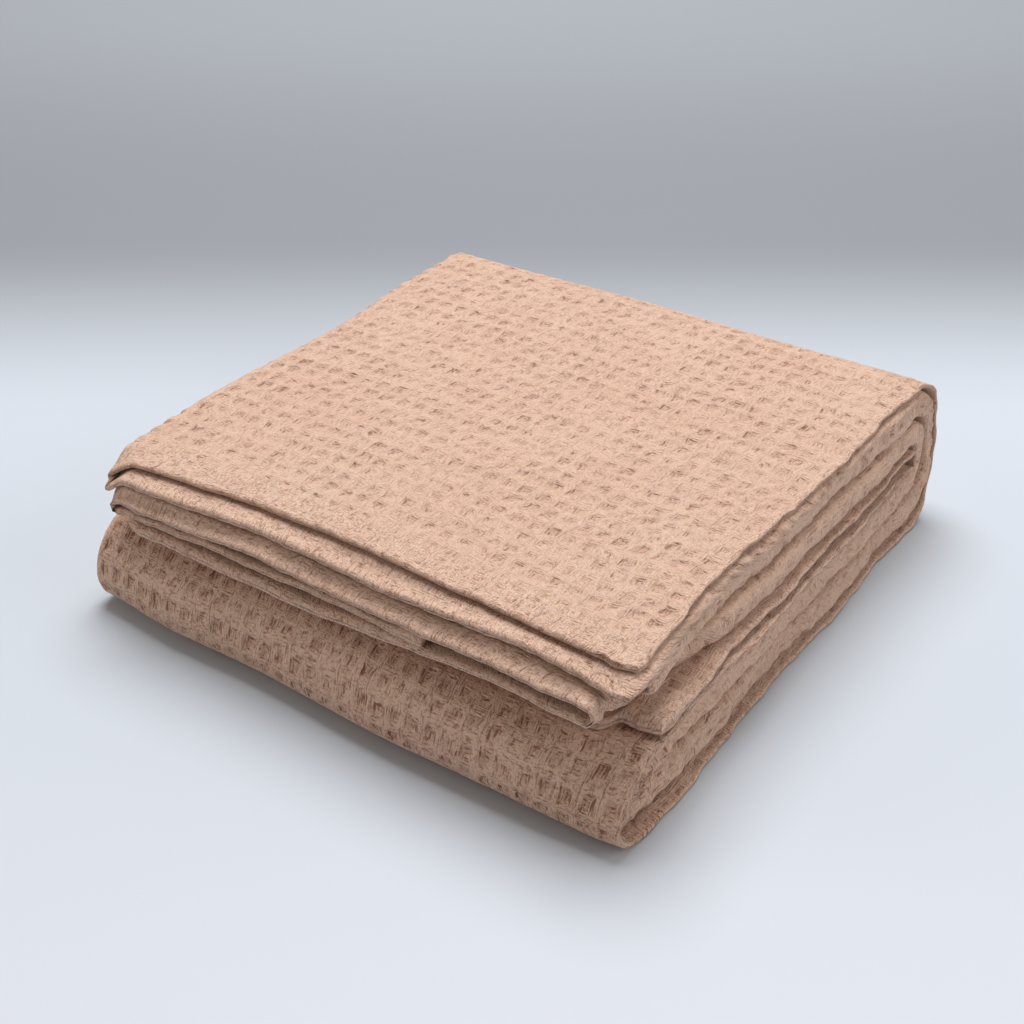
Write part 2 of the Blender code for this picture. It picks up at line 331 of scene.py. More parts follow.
def swell(name, x, v, layer):
    """What the turned-under ends add to half the cloth's thickness, layer by layer.

    The lowest layer of the upper half is folded thick at the right, beyond the pocket.
    """
    if name == "top":
        return 0.0003 * float(smooth(0.020, 0.008, v)) * of_layer(layer, (0.0, 1.0, 0.0, 0.0))
    if name != "upper":
        return 0.0
    near = PANEL_LENGTH - v
    lip = 0.0016 - 0.0012 * smooth(0.010, 0.060, x)
    flap = 0.0003 + 0.0022 * smooth(0.028, 0.050, x) * smooth(0.075, 0.060, x)
    block = 0.0031 * smooth(0.148, 0.157, x) * float(smooth(0.034, 0.022, near))
    block = block * (1.0 - smooth(1.2, 1.8, layer))
    return block + float(smooth(0.020, 0.008, near)) * of_layer(layer, (0.0, lip, flap, 0.0002))


def locate(v):
    """The run or fold at flat length v, and how far along it: 0 to 1, beyond at the hems."""
    for name, length, *_ in PATH:
        if v <= length or name == PATH[-1][0]:
            return name, v / length
        v -= length


def hem_near(v):
    """1 on the hemmed ends, 0 on the open cloth."""
    return 1.0 - float(smooth(HEM_WIDTH * 0.92, HEM_WIDTH * 1.12, min(v, PANEL_LENGTH - v)))


def hem_step(share):
    """A hemmed run's place in SIDES, from its share: the first step there spans the hem."""
    if share < HEM_SHARE:
        return share / HEM_SHARE / HEM_STEPS
    return 1 / HEM_STEPS + (share - HEM_SHARE) / (1 - HEM_SHARE) * (HEM_STEPS - 1) / HEM_STEPS


def strip_at(name, t):
    """The places of the sides and the distance between layers, part of the way along."""
    if name in FOLDS:
        before, after = FOLDS[name]
        sides = [mix(a, b, t) for a, b in zip(sides_at(before, 1.0), sides_at(after, 0.0))]
        pitch = {"front": LOWER_PITCH[0],
                 "outer": mix(UPPER_PITCH[1], LOWER_PITCH[1], t),
                 "inner": mix(LOWER_PITCH[1], UPPER_PITCH[1], t)}[name]
        return sides, pitch
    index, to_back, hemmed = RUNS[name]
    place = t
    if hemmed:
        place = hem_step(t) if to_back else 1.0 - hem_step(1.0 - t)
    place = min(max(place, 0.0), 1.0)
    lower, upper = pitches(mix(Y_FRONT, Y_BACK, place if to_back else 1 - place))
    return sides_at(name, place), float(lower if index < 8 else upper)


def creases_at(name, t, v):
    """The creases of the large and of the small side folds, as section takes them.

    The slit bites deeper at each waffle row, and leaves the upper run as one roll.
    """
    bite = SLIT[name] if name != "inner" else mix(SLIT["lower"], SLIT["upper"], t)
    bite *= (0.88 + 0.12 * math.sin(23.0 * v + 1.0)) * (
        1.0 + 0.16 * math.sin(2.0 * math.pi * v / CELL_LENGTH + 2.0 * math.sin(31.0 * v)))
    angle = (1.55 + 0.22 * math.sin(17.0 * v) + 0.14 * math.sin(47.0 * v)
             + 0.08 * math.sin(139.0 * v))
    pinch = (0.90 * float(smooth(0.070, 0.025, v))
             + 0.25 * float(smooth(0.070, 0.025, PANEL_LENGTH - v)))
    return (angle, bite), (1.45, pinch)


def round_fold(name, t, depth):
    """y and z on the way round the front fold or one of the back folds."""
    if name == "front":
        low, high = level(0, Y_FRONT), level(7, Y_FRONT)
        angle, radius = -math.pi * (0.5 + t), (high - low) / 2 - depth
        out, up = math.cos(angle), math.sin(angle)
        y = Y_FRONT + FRONT_REACH * radius * math.copysign(abs(out) ** 0.80, out)
        return y, (low + high) / 2 + radius * math.copysign(abs(up) ** 0.90, up)
    low, high = level(0, Y_BACK), level(15, Y_BACK)
    angle, radius = math.pi * (0.5 - t), (high - low) / 2 - depth
    if name == "inner":
        angle, radius = math.pi * (t - 0.5), (level(8, Y_BACK) - level(7, Y_BACK)) / 2 + depth
    y = Y_BACK + BACK_REACH * radius * math.cos(angle)
    return y, (low + high) / 2 + radius * math.sin(angle)


def row_points(u, v, w, half, inset):
    """Space points of one row: u across, v along, w the share of half across the cloth.

    Each point is drawn back from the hem's end by its own inset.
    """
    name, t = locate(v)
    sides, pitch = strip_at(name, t)
    for place, waves in EDGE_WAVES.items():
        sides[place] += sum(high * math.sin(pace * v + start) for high, pace, start in waves)
    x, depth, across_x, across_d = section(u, pitch, sides, creases_at(name, t, v))
    layer = 1.0 + depth / pitch
    more = swell(name, x, v, layer)
    thick = half + more
    x, depth = x + across_x * w * thick, depth + across_d * w * thick
    if name in FOLDS:
        y, z = round_fold(name, t, depth)
    else:
        index, to_back, hemmed = RUNS[name]
        y_front = end_y(name, layer, x) if hemmed else Y_FRONT
        y = mix(y_front, Y_BACK, t if to_back else 1.0 - t) + inset
        if name == "upper":                          # a thick end is rounder
            past = min(max((v - PANEL_LENGTH) / float(half.max()), 0.0), 1.0)
            y = y + 0.6 * more * float(smooth(0.012, 0.0, PANEL_LENGTH - v)) * (1.0 - past)
        lower, upper = pitches(y)
        local = lower if index < 8 else upper
        inward = 1.0 if name in ("base", "upper") else -1.0
        z = level(index, y) + inward * depth * local / pitch
        if name == "upper":
            z = z + more * (x > 0.146) * (layer < 1.6) + pocket_rise(x, y, layer)
        if name == "top":
            dip = 0.0007 + 0.0005 * math.sin(83.0 * v) + 0.0004 * math.sin(201.0 * v)
            z = z + upper_rise(x, y, layer) - smooth(0.020, 0.0, u) * dip
    if name in ("base", "front", "lower"):
        y = y - front_lean(x, y, z)
    x, y, z = warp(x, y, z)
    z = np.where(z < FLOOR_GAP, FLOOR_GAP + 0.1 * (z - FLOOR_GAP), z)
    return np.stack([x - DRAWN_CENTRE[0], y - DRAWN_CENTRE[1], z], axis=-1)


# ---------------------------------------------------------------- pieces of the cloth

def steps(*spans):
    """Numbers from span to span: (start, end, step), each span starting where the last ended."""
    values = [spans[0][0]]
    for start, end, step in spans:
        count = max(1, round((end - start) / step))
        values += list(np.linspace(start, end, count + 1)[1:])
    return values


# the panel is cut into pieces along these lines, which are hidden but for their ends
SPLIT_U = 0.372
SPLIT_BASE = V_BASE + 0.008
SPLIT_LOWER = V_LOWER + 0.034

TOP_ROWS = steps((0.0, 0.010, 0.0009), (0.010, 0.030, 0.0013), (0.030, V_OUTER, 0.0015),
                 (V_OUTER, SPLIT_BASE, 0.0024))
FOLDS_TOP_ROWS = steps((0.0, 0.010, 0.0009), (0.010, 0.026, 0.0014), (0.026, V_OUTER, 0.0026),
                       (V_OUTER, SPLIT_BASE, 0.0024))
BASE_ROWS = steps((SPLIT_BASE, V_FRONT, 0.0026), (V_FRONT, SPLIT_LOWER, 0.0014))
LOWER_ROWS = steps((SPLIT_LOWER, V_INNER, 0.0024), (V_INNER, V_UPPER, 0.0020))
UPPER_ROWS = steps((V_UPPER, PANEL_LENGTH - 0.030, 0.0024),
                   (PANEL_LENGTH - 0.030, PANEL_LENGTH, 0.0010))

FINE_LEFT = steps((0.0, 0.004, 0.0008), (0.004, 0.326, 0.00150), (0.326, 0.345, 0.0007),
                  (0.345, SPLIT_U, 0.0015))
MIXED_LEFT = steps((0.0, 0.030, 0.0015), (0.030, 0.310, 0.0045), (0.310, 0.326, 0.0015),
                   (0.326, 0.345, 0.0008), (0.345, SPLIT_U, 0.0015))
LEFT_BACK = steps((0.0, 0.024, 0.0016), (0.024, 0.315, 0.0120), (0.315, SPLIT_U, 0.0025))

RIGHT_FINE = steps((SPLIT_U, 0.640, 0.0036), (0.640, 0.664, 0.0014), (0.664, 0.694, 0.0007),
                   (0.694, 0.720, 0.0014), (0.720, 0.990, 0.0048),
                   (0.990, 1.055, 0.0015), (1.055, PANEL_WIDTH, 0.0046))
RIGHT_COARSE = steps((SPLIT_U, 0.640, 0.0080), (0.640, 0.664, 0.0014), (0.664, 0.698, 0.0008),
                     (0.698, 0.725, 0.0014), (0.725, 0.990, 0.0080),
                     (0.990, 1.060, 0.0018), (1.060, PANEL_WIDTH, 0.0080))
RIGHT_BACK = steps((SPLIT_U, 0.640, 0.0080), (0.640, 0.725, 0.0022), (0.725, 0.990, 0.0080),
                   (0.990, 1.060, 0.0022), (1.060, PANEL_WIDTH, 0.0080))

# each piece's places along the panel and across it, finer where it shows
#   name             rows                    face columns  back columns
PIECES = (
    ("cloth_top",    TOP_ROWS,               FINE_LEFT,    LEFT_BACK),
    ("cloth_front",  BASE_ROWS,              FINE_LEFT,    LEFT_BACK),
    ("cloth_middle", LOWER_ROWS,             MIXED_LEFT,   LEFT_BACK),
    ("cloth_mid_end", UPPER_ROWS,            MIXED_LEFT,   LEFT_BACK),
    ("folds_top",    FOLDS_TOP_ROWS,         RIGHT_FINE,   RIGHT_BACK),
    ("folds_base",   BASE_ROWS,              RIGHT_COARSE, RIGHT_BACK),
    ("folds_lower",  LOWER_ROWS,             RIGHT_COARSE, RIGHT_BACK),
    ("folds_upper",  UPPER_ROWS,             RIGHT_FINE,   RIGHT_BACK),
)

EDGE_ARC = [math.radians(a) for a in (22, 45, 67, 90, 113, 135, 158)]     # round a long edge
HEM_ARC = [math.radians(a) for a in (25, 50, 70, 84)]                      # round a hem
LAPS = ((0.0012, 1.0), (0.0030, 0.80))     # how far a cut piece runs on, and how thick it is there


def columns(face, back):
    """The loop of columns round the cloth: flat u, reach past the edge, share of half, side.

    Where the panel is cut, the piece runs on and dips under the face of its neighbour.
    """
    free_start, free_end = face[0] == 0.0, abs(face[-1] - PANEL_WIDTH) < 1e-9
    loop = [(u, 0.0, 1.0, 1.0) for u in face]
    behind = [(u, 0.0, -1.0, -1.0) for u in reversed(back)]
    if free_end:
        loop += [(face[-1], math.sin(a), math.cos(a), math.cos(a)) for a in EDGE_ARC]
    else:
        for lap, dip in LAPS:
            loop.append((face[-1] + lap, 0.0, dip, 1.0))
            behind.insert(0, (face[-1] + lap, 0.0, -dip, -1.0))
    loop += behind
    if free_start:
        loop += [(0.0, -math.sin(a), -math.cos(a), -math.cos(a)) for a in EDGE_ARC]
    else:
        for lap, dip in LAPS:
            loop.insert(0, (face[0] - lap, 0.0, dip, 1.0))
            loop.append((face[0] - lap, 0.0, -dip, -1.0))
    return [np.array(part) for part in zip(*loop)]


def half_thickness(u, v, cloth):
    """Half the cloth's thickness: thin at layer 1's edge but at its corner, thick at the hems."""
    half = cloth.thickness / 2 + cloth.hem_extra / 2 * hem_near(v)
    edge = 0.66 + 0.44 * float(smooth(0.022, 0.006, v))
    return half * mix(edge, 1.0, smooth(0.0, 0.014, u))


def lines_along(rows):
    """The rows with what closes them at both ends: flat v, reach past the hem, share of half."""
    lines = [(v, 0.0, 1.0) for v in rows]
    if rows[0] == 0.0:
        lines = [(0.0, -math.sin(a), math.cos(a)) for a in reversed(HEM_ARC)] + lines
    else:
        lines = [(rows[0] - lap, 0.0, dip) for lap, dip in reversed(LAPS)] + lines
    if abs(rows[-1] - PANEL_LENGTH) < 1e-9:
        return lines + [(rows[-1], math.sin(a), math.cos(a)) for a in HEM_ARC]
    return lines + [(rows[-1] + lap, 0.0, dip) for lap, dip in LAPS]


def lay_piece(name, rows, face, back, cloth):
    """One closed stretch of the folded panel, with its flat place kept as an attribute."""
    u, reach, w, side = columns(face, back)
    lines = lines_along(rows)
    points, flat = [], []
    for v, out, thin in lines:
        half = half_thickness(u, v, cloth)
        u_here = u + reach * half
        v_here = v + out * float(half.max())
        slit = np.zeros_like(u)
        if v_here < 0.0 and thin < 0.5:                # the hem's roll stands open at the corner
            slit = smooth(0.003, 0.007, u) * (1.0 - smooth(0.014, 0.020, u)) * (1.0 - 2.0 * thin)
        points.append(row_points(u_here, v_here, w * thin, half, slit * 0.0045))
        flat.append(np.stack([u_here, np.full_like(u, v_here), side * thin], axis=-1))
    count, total = len(u), len(lines)
    points, flat = np.concatenate(points), np.concatenate(flat)
    points *= np.array([cloth.width, cloth.length, cloth.height]) / np.array(DRAWN_SIZE)

    i, j = np.meshgrid(np.arange(count), np.arange(total - 1))
    a, b = j * count + i, j * count + (i + 1) % count
    quads = np.stack([a, a + count, b + count, b], axis=-1).reshape(-1, 4)
    faces = [tuple(q) for q in quads.tolist()]
    faces += end_faces(u, w, 0, True) + end_faces(u, w, (total - 1) * count, False)
    mesh = bpy.data.meshes.new(name)
    mesh.from_pydata(points.tolist(), [], faces)
    attribute = mesh.attributes.new("cloth", "FLOAT_VECTOR", "POINT")
    attribute.data.foreach_set("vector", flat.astype(np.float32).ravel())
    mesh.shade_smooth()
    piece = bpy.data.objects.new(name, mesh)
    bpy.context.scene.collection.objects.link(piece)
    return piece


def end_faces(u, w, base, flip):
    """Faces across the cloth's thickness at the first or last row."""
    face = [k for k in range(len(u)) if w[k] > 0.0]
    back = [k for k in range(len(u)) if w[k] <= 0.0]
    face = sorted(face, key=lambda k: (u[k], w[k] if u[k] == 0.0 else -w[k]))
    back = sorted(back, key=lambda k: (u[k], -w[k] if u[k] == 0.0 else w[k]))
    made, p, q = [], 0, 0
    while p < len(face) - 1 or q < len(back) - 1:
        move_face = q == len(back) - 1 or (p < len(face) - 1 and u[face[p + 1]] <= u[back[q + 1]])
        if move_face:
            made.append((base + face[p], base + back[q], base + face[p + 1]))
            p += 1
        else:
            made.append((base + face[p], base + back[q], base + back[q + 1]))
            q += 1
    return [f[::-1] for f in made] if flip else made


# ---------------------------------------------------------------- node helpers

class Wiring:
    """Adds nodes to a tree. A value given for an input is a socket to link, or a constant."""

    def __init__(self, tree):
        self.tree = tree

    def feed(self, socket, value):
        if isinstance(value, bpy.types.NodeSocket):
            self.tree.links.new(value, socket)
        else:
            socket.default_value = value

    def node(self, kind, inputs=None, **settings):
        made = self.tree.nodes.new(kind)
        for key, value in settings.items():
            setattr(made, key, value)
        for key, value in (inputs or {}).items():
            self.feed(made.inputs[key], value)
        return made

    def math(self, operation, *values, clamp=False):
        made = self.node("ShaderNodeMath", operation=operation, use_clamp=clamp)
        for socket, value in zip(made.inputs, values):
            self.feed(socket, value)
        return made.outputs[0]

    def plus(self, a, b, clamp=False):
        return self.math("ADD", a, b, clamp=clamp)

    def minus(self, a, b):
        return self.math("SUBTRACT", a, b)

    def times(self, a, b, clamp=False):
        return self.math("MULTIPLY", a, b, clamp=clamp)

    def ramp(self, value, low, high, to_low=0.0, to_high=1.0):
        """Smooth change from to_low to to_high as the value goes from low to high."""
        made = self.node("ShaderNodeMapRange", {
            "Value": value, "From Min": low, "From Max": high,
            "To Min": to_low, "To Max": to_high}, interpolation_type="SMOOTHSTEP")
        return made.outputs[0]

    def noise(self, vector, scale, detail=2.0, roughness=0.5, seed=0.0):
        made = self.node("ShaderNodeTexNoise", {
            "Vector": vector, "Scale": scale, "Detail": detail, "Roughness": roughness,
            "W": seed}, noise_dimensions="4D")
        return made.outputs["Fac"]

    def swing(self, vector, scale, detail=2.0, roughness=0.5, seed=0.0):
        """Noise that goes either way from 0, to half at most."""
        return self.minus(self.noise(vector, scale, detail, roughness, seed), 0.5)

    def combine(self, x, y, z=0.0):
        return self.node("ShaderNodeCombineXYZ", {"X": x, "Y": y, "Z": z}).outputs[0]

    def blend(self, share, a, b):
        """Colour from a to b by a share that varies over the surface."""
        made = self.node("ShaderNodeMix", data_type="RGBA")
        for socket, value in ((made.inputs[0], share), (made.inputs[6], a), (made.inputs[7], b)):
            self.feed(socket, value)
        return made.outputs[2]


PIT_EDGE = 0.30             # how soft the edge of a pit is


def pit_shape(w, across, along, share, ragged=0.0):
    """A square pit in each cell, steep at its far corner and shallow toward the near one.

    Gives the pit from 0 to 1, and the distances from the cell's middle lines.
    """
    in_u = w.minus(w.math("FRACT", across), 0.5)
    in_v = w.minus(w.math("FRACT", along), 0.5)
    from_u, from_v = w.math("ABSOLUTE", in_u), w.math("ABSOLUTE", in_v)
    cell = w.combine(w.math("FLOOR", across), w.math("FLOOR", along), 0.5)
    luck = w.node("ShaderNodeTexWhiteNoise", {"Vector": cell}, noise_dimensions="3D").outputs["Value"]
    share = w.times(share, w.ramp(luck, 0.0, 1.0, 0.88, 1.10))
    square = w.math("POWER", w.plus(w.math("POWER", w.math("DIVIDE", from_u, share), 4.0),
                                    w.math("POWER", w.math("DIVIDE", from_v, share), 4.0)), 0.25)
    inside = w.ramp(w.plus(square, ragged), 1.0 + PIT_EDGE, 1.0 - PIT_EDGE)
    # in the material the pit is a mask of painted shade, so the lean paints it darkest toward its far
    # corner
    lean = w.ramp(w.plus(in_u, in_v), -0.45, 0.32, 0.05, 1.0)
    pit = w.times(w.times(inside, lean), w.ramp(luck, 0.0, 0.8, 0.45, 1.1))
    return pit, from_u, from_v


def bend_share(w, place, middle, half):
    """1 within half of a fold's middle line, fading to 0 beyond it."""
    away = w.math("ABSOLUTE", w.minus(place, middle))
    return w.ramp(away, half * 1.25, half * 0.75)


RIGHT_FOLDS = ((0.680, 0.022), (1.022, 0.030))      # flat u of their middles, and half their widths
RIGHT_FOLD_PULL = 0.20      # how much flatter the waffle is pulled round them


def waffle_tree(material):
    """Geometry Nodes: presses rows of square pits into the cloth, along its normals."""
    tree = bpy.data.node_groups.new("waffle_relief", "GeometryNodeTree")
    face = tree.interface
    face.new_socket("Geometry", in_out="INPUT", socket_type="NodeSocketGeometry")
    for label, default, kind in (
            ("Cell Width", CELL_WIDTH, "DISTANCE"), ("Cell Length", CELL_LENGTH, "DISTANCE"),
            ("Pit Share", 0.30, "FACTOR"), ("Pit Depth", 0.0008, "DISTANCE"),
            ("Ridge Height", 0.0003, "DISTANCE"), ("Unevenness", 0.5, "FACTOR"),
            ("Hem Width", HEM_WIDTH, "DISTANCE"), ("Panel Length", PANEL_LENGTH, "DISTANCE"),
            ("Seed", 7.0, "NONE")):
        socket = face.new_socket(label, in_out="INPUT", socket_type="NodeSocketFloat")
        socket.default_value = default
        socket.subtype = kind
    face.new_socket("Geometry", in_out="OUTPUT", socket_type="NodeSocketGeometry")
    w = Wiring(tree)
    given = tree.nodes.new("NodeGroupInput").outputs
    place = w.node("GeometryNodeInputNamedAttribute", {"Name": "cloth"}, data_type="FLOAT_VECTOR")
    place = place.outputs["Attribute"]
    axes = w.node("ShaderNodeSeparateXYZ", {"Vector": place}).outputs
    u, v, side = axes[0], axes[1], axes[2]
    flat = w.combine(u, v, w.times(side, 0.02))
    seed = given["Seed"]

    # rows and columns wander, and the rows draw together in pairs
    wobble_u = w.times(w.swing(flat, 24.0, seed=seed), 1.1)
    wobble_v = w.times(w.swing(flat, 21.0, seed=w.plus(seed, 5.0)), 1.1)
    back = w.times(w.math("LESS_THAN", side, 0.0), 0.5)
    across = w.plus(w.plus(w.math("DIVIDE", u, given["Cell Width"]), back),
                    w.times(wobble_u, given["Unevenness"]))
    along = w.plus(w.plus(w.math("DIVIDE", v, given["Cell Length"]), back),
                   w.times(wobble_v, given["Unevenness"]))
    along = w.minus(along, w.times(w.math("SINE", w.times(along, math.pi)), 0.07))

    near_end = w.math("MINIMUM", v, w.minus(given["Panel Length"], v))
    open_cloth = w.ramp(near_end, w.times(given["Hem Width"], 0.8),
                        w.times(given["Hem Width"], 1.3), 0.10, 1.0)
    open_cloth = w.times(open_cloth, w.ramp(u, 0.0005, 0.004))
    for middle, half in RIGHT_FOLDS:
        pulled = w.times(bend_share(w, u, middle, half), RIGHT_FOLD_PULL)
        open_cloth = w.times(open_cloth, w.minus(1.0, pulled))
    patches = w.noise(flat, 12.0, 3.0, 0.6, seed=w.plus(seed, 11.0))
    strength = w.times(w.ramp(patches, 0.28, 0.62, 0.62, 1.12), open_cloth)

    pit, from_u, from_v = pit_shape(w, across, along, given["Pit Share"])
    pit = w.times(pit, strength)
    ridge = w.minus(1.0, w.times(w.ramp(from_u, 0.5, 0.15), w.ramp(from_v, 0.5, 0.15)))
    ridge = w.times(w.times(ridge, open_cloth), given["Ridge Height"])
    rough = w.times(w.swing(flat, 130.0, 2.0, 0.6, seed=seed), 0.0009)
    height = w.plus(w.minus(ridge, w.times(pit, given["Pit Depth"])), rough)
    height = w.times(height, w.ramp(w.math("ABSOLUTE", side), 0.0, 1.0, 0.5, 1.0))
    normal = w.node("GeometryNodeInputNormal").outputs[0]
    shift = w.node("ShaderNodeVectorMath", operation="SCALE")
    w.feed(shift.inputs[0], normal)
    w.feed(shift.inputs["Scale"], height)
    stored = w.node("GeometryNodeStoreNamedAttribute", {
        "Geometry": given["Geometry"], "Name": "weave",
        "Value": w.combine(across, along, strength)},
        data_type="FLOAT_VECTOR", domain="POINT")
    moved = w.node("GeometryNodeSetPosition", {
        "Geometry": stored.outputs[0], "Offset": shift.outputs[0]})
    whole = w.node("GeometryNodeRealizeInstances", {"Geometry": moved.outputs[0]})
    dressed = w.node("GeometryNodeSetMaterial", {"Geometry": whole.outputs[0], "Material": material})
    result = tree.nodes.new("NodeGroupOutput")
    tree.links.new(dressed.outputs[0], result.inputs[0])
    return tree


def press_waffle(piece, tree, values):
    """Runs the relief tree on a piece and keeps the result as its plain mesh."""
    modifier = piece.modifiers.new("waffle", "NODES")
    modifier.node_group = tree
    for item in tree.interface.items_tree:
        if item.in_out == "INPUT" and item.name in values:
            modifier[item.identifier] = values[item.name]
    graph = bpy.context.evaluated_depsgraph_get()
    made = bpy.data.meshes.new_from_object(piece.evaluated_get(graph), depsgraph=graph)
    piece.modifiers.remove(modifier)
    old = piece.data
    piece.data = made
    made.name = piece.name
    bpy.data.meshes.remove(old)


# ---------------------------------------------------------------- materials

def yarn_group():
    """Shader group: the yarns and pits of the cloth as a height in mm, and as two masks of painted
    shade.
    """
    group = bpy.data.node_groups.new("cotton_yarns", "ShaderNodeTree")
    face = group.interface
    face.new_socket("Cloth", in_out="INPUT", socket_type="NodeSocketVector")
    face.new_socket("Weave", in_out="INPUT", socket_type="NodeSocketVector")
    for label, default in (("Yarns", 8.0), ("Pit Share", 0.30), ("Yarn Height", 0.24),
                           ("Pit Height", 0.35), ("Fuzz", 0.75)):
        socket = face.new_socket(label, in_out="INPUT", socket_type="NodeSocketFloat")
        socket.default_value = default
    for label in ("Height", "Furrow Shade", "Pit"):
        face.new_socket(label, in_out="OUTPUT", socket_type="NodeSocketFloat")
    w = Wiring(group)
    given = group.nodes.new("NodeGroupInput").outputs
    axes = w.node("ShaderNodeSeparateXYZ", {"Vector": given["Weave"]}).outputs
    across, along, strength = axes[0], axes[1], axes[2]
    ragged = w.times(w.swing(given["Cloth"], 420.0, 3.0, 0.7, seed=6.0), 1.3)
    pit, from_u, from_v = pit_shape(w, across, along, given["Pit Share"], ragged)
    pit = w.times(pit, strength)

    # uneven threads both ways, and floats in squares round each cell's middle
    bend = w.times(w.swing(given["Cloth"], 170.0), 6.0)
    lead = w.plus(w.minus(from_u, from_v), w.times(w.swing(given["Cloth"], 150.0, seed=4.0), 1.4))
    lead = w.ramp(lead, -0.22, 0.10)
    waves, threads, strokes = [], [], []
    for axis, other, seed in ((across, along, 31.0), (along, across, 37.0)):
        counted = w.times(axis, given["Yarns"])
        waves.append(w.math("SINE", w.plus(w.times(counted, 2.0 * math.pi), bend)))
        place = w.combine(counted, w.times(other, 2.6), seed)
        threads.append(w.times(w.swing(place, 1.25, 2.0, 0.6, seed=seed), 4.0))
        place = w.combine(counted, w.times(other, 1.7), seed)
        strokes.append(w.ramp(w.noise(place, 1.3, 1.0, 0.5, seed=seed), 0.52, 0.66))

    def led(pair):
        return w.plus(w.times(pair[0], lead), w.times(pair[1], w.minus(1.0, lead)))

    worn = w.ramp(w.noise(given["Cloth"], 210.0, 3.0, 0.7, seed=8.0), 0.42, 0.62, 0.0, 0.8)
    woven = w.plus(led(threads), w.times(led(waves), worn))
    stroke = led(strokes)
    fibre = w.swing(given["Cloth"], 980.0, 2.0, 0.65)

    height = w.plus(w.times(woven, given["Yarn Height"]), w.times(fibre, given["Fuzz"]))
    sunk = w.plus(pit, w.times(w.times(stroke, pit), 0.8))
    height = w.minus(height, w.times(sunk, given["Pit Height"]))
    # where shade is painted: low between the yarns, and along the strokes
    furrow_shade = w.ramp(w.plus(woven, w.times(fibre, 2.0)), 0.0, -1.2)
    furrow_shade = w.plus(w.times(furrow_shade, 0.50), w.times(stroke, 0.70), clamp=True)
    result = group.nodes.new("NodeGroupOutput")
    w.feed(result.inputs["Height"], height)
    w.feed(result.inputs["Furrow Shade"], furrow_shade)
    w.feed(result.inputs["Pit"], pit)
    return group


FACE_SHIFT = 0.003          # how far the patterns of the cloth's two faces differ
FRONT_FOLD = ((V_FRONT + V_LOWER) / 2, 0.060)       # flat v of its middle, and half its width


def thread_gap_shade(w, u, v, depth):
    """Painted shade in the fine gaps beside the threads, which run both ways."""
    threads = []
    for along_u, along_v, seed in ((1.0, 0.34, 29.0), (0.34, 1.0, 30.0)):
        drawn = w.combine(w.times(u, along_u), w.times(v, along_v), depth)
        threads.append(w.noise(drawn, 1150.0, 2.0, 0.65, seed=seed))
    return w.ramp(w.math("MINIMUM", *threads), 0.455, 0.325)


def cloth_material(colours, pit_share):
    """Cotton: its colour varies with the yarns and the hems, with painted shade in the pits and between
    the yarns, more over the stretched front fold.
    """
    material = bpy.data.materials.new(SLOT)
    material.use_nodes = True
    w = Wiring(material.node_tree)
    shader = material.node_tree.nodes["Principled BSDF"]
    flat = w.node("ShaderNodeAttribute", attribute_name="cloth").outputs["Vector"]
    u, v, side = w.node("ShaderNodeSeparateXYZ", {"Vector": flat}).outputs
    depth = w.times(side, FACE_SHIFT)
    place = w.combine(u, v, depth)
    weave = w.node("ShaderNodeAttribute", attribute_name="weave").outputs["Vector"]
    strength = w.node("ShaderNodeSeparateXYZ", {"Vector": weave}).outputs[2]
    yarns = w.node("ShaderNodeGroup", node_tree=yarn_group())
    for label, value in (("Cloth", place), ("Weave", weave), ("Yarns", colours.yarns),
                         ("Pit Share", pit_share)):
        w.feed(yarns.inputs[label], value)
    furrow_shade, pit = yarns.outputs["Furrow Shade"], yarns.outputs["Pit"]
    cotton, warm, painted_shade, pale = (tuple(c) for c in (
        colours.cotton, colours.warm, colours.pit, colours.pale))

    # the cotton is pinker in broad patches and in small ones
    broad = w.noise(place, 16.0, 3.0, 0.6, seed=21.0)
    blotch = w.noise(place, 95.0, 3.0, 0.65, seed=22.0)
    colour = w.blend(w.ramp(broad, 0.3, 0.7, 0.0, 0.5), cotton, warm)
    colour = w.blend(w.ramp(blotch, 0.48, 0.74, 0.0, 0.55), colour, warm)
    # the yarns show more where the cloth is turned under and has no pits
    hemmed = w.ramp(strength, 0.40, 0.12)
    speckle = w.ramp(w.noise(place, 950.0, 2.0, 0.6, seed=23.0), 0.44, 0.64)
    colour = w.blend(w.times(speckle, w.plus(w.times(hemmed, 0.32), 0.60)), colour, pale)
    # painted shade in the pits, and more of it where the weave is stretched open over the front fold
    stretched = bend_share(w, v, *FRONT_FOLD)
    sunk = w.times(w.ramp(pit, 0.10, 0.9), w.plus(w.times(stretched, 0.10), 0.16))
    colour = w.blend(sunk, colour, painted_shade)
    # the yarn pattern drawn as painted shade in the gaps between yarns and in the pits' strokes,
    # stronger on the hems and over the front fold
    lines = w.times(furrow_shade, w.plus(w.ramp(pit, 0.0, 0.50, 0.42, 0.90), w.times(hemmed, 0.20)))
    lines = w.times(lines, w.plus(w.times(stretched, 0.8), 1.0), clamp=True)
    gap_shade = w.plus(w.times(w.math("MAXIMUM", stretched, hemmed), 0.28), 0.30)
    lines = w.plus(lines, w.times(thread_gap_shade(w, u, v, depth), gap_shade), clamp=True)
    colour = w.blend(lines, colour, painted_shade)
    bump = w.node("ShaderNodeBump", {"Height": yarns.outputs["Height"], "Strength": 1.0,
                                     "Distance": 0.001})
    w.feed(shader.inputs["Base Color"], colour)
    w.feed(shader.inputs["Normal"], bump.outputs[0])
    shader.inputs["Roughness"].default_value = 0.95
    shader.inputs["Specular IOR Level"].default_value = 0.15
    shader.inputs["Sheen Weight"].default_value = 0.10
    shader.inputs["Sheen Roughness"].default_value = 0.5
    return material


# ---------------------------------------------------------------- settings

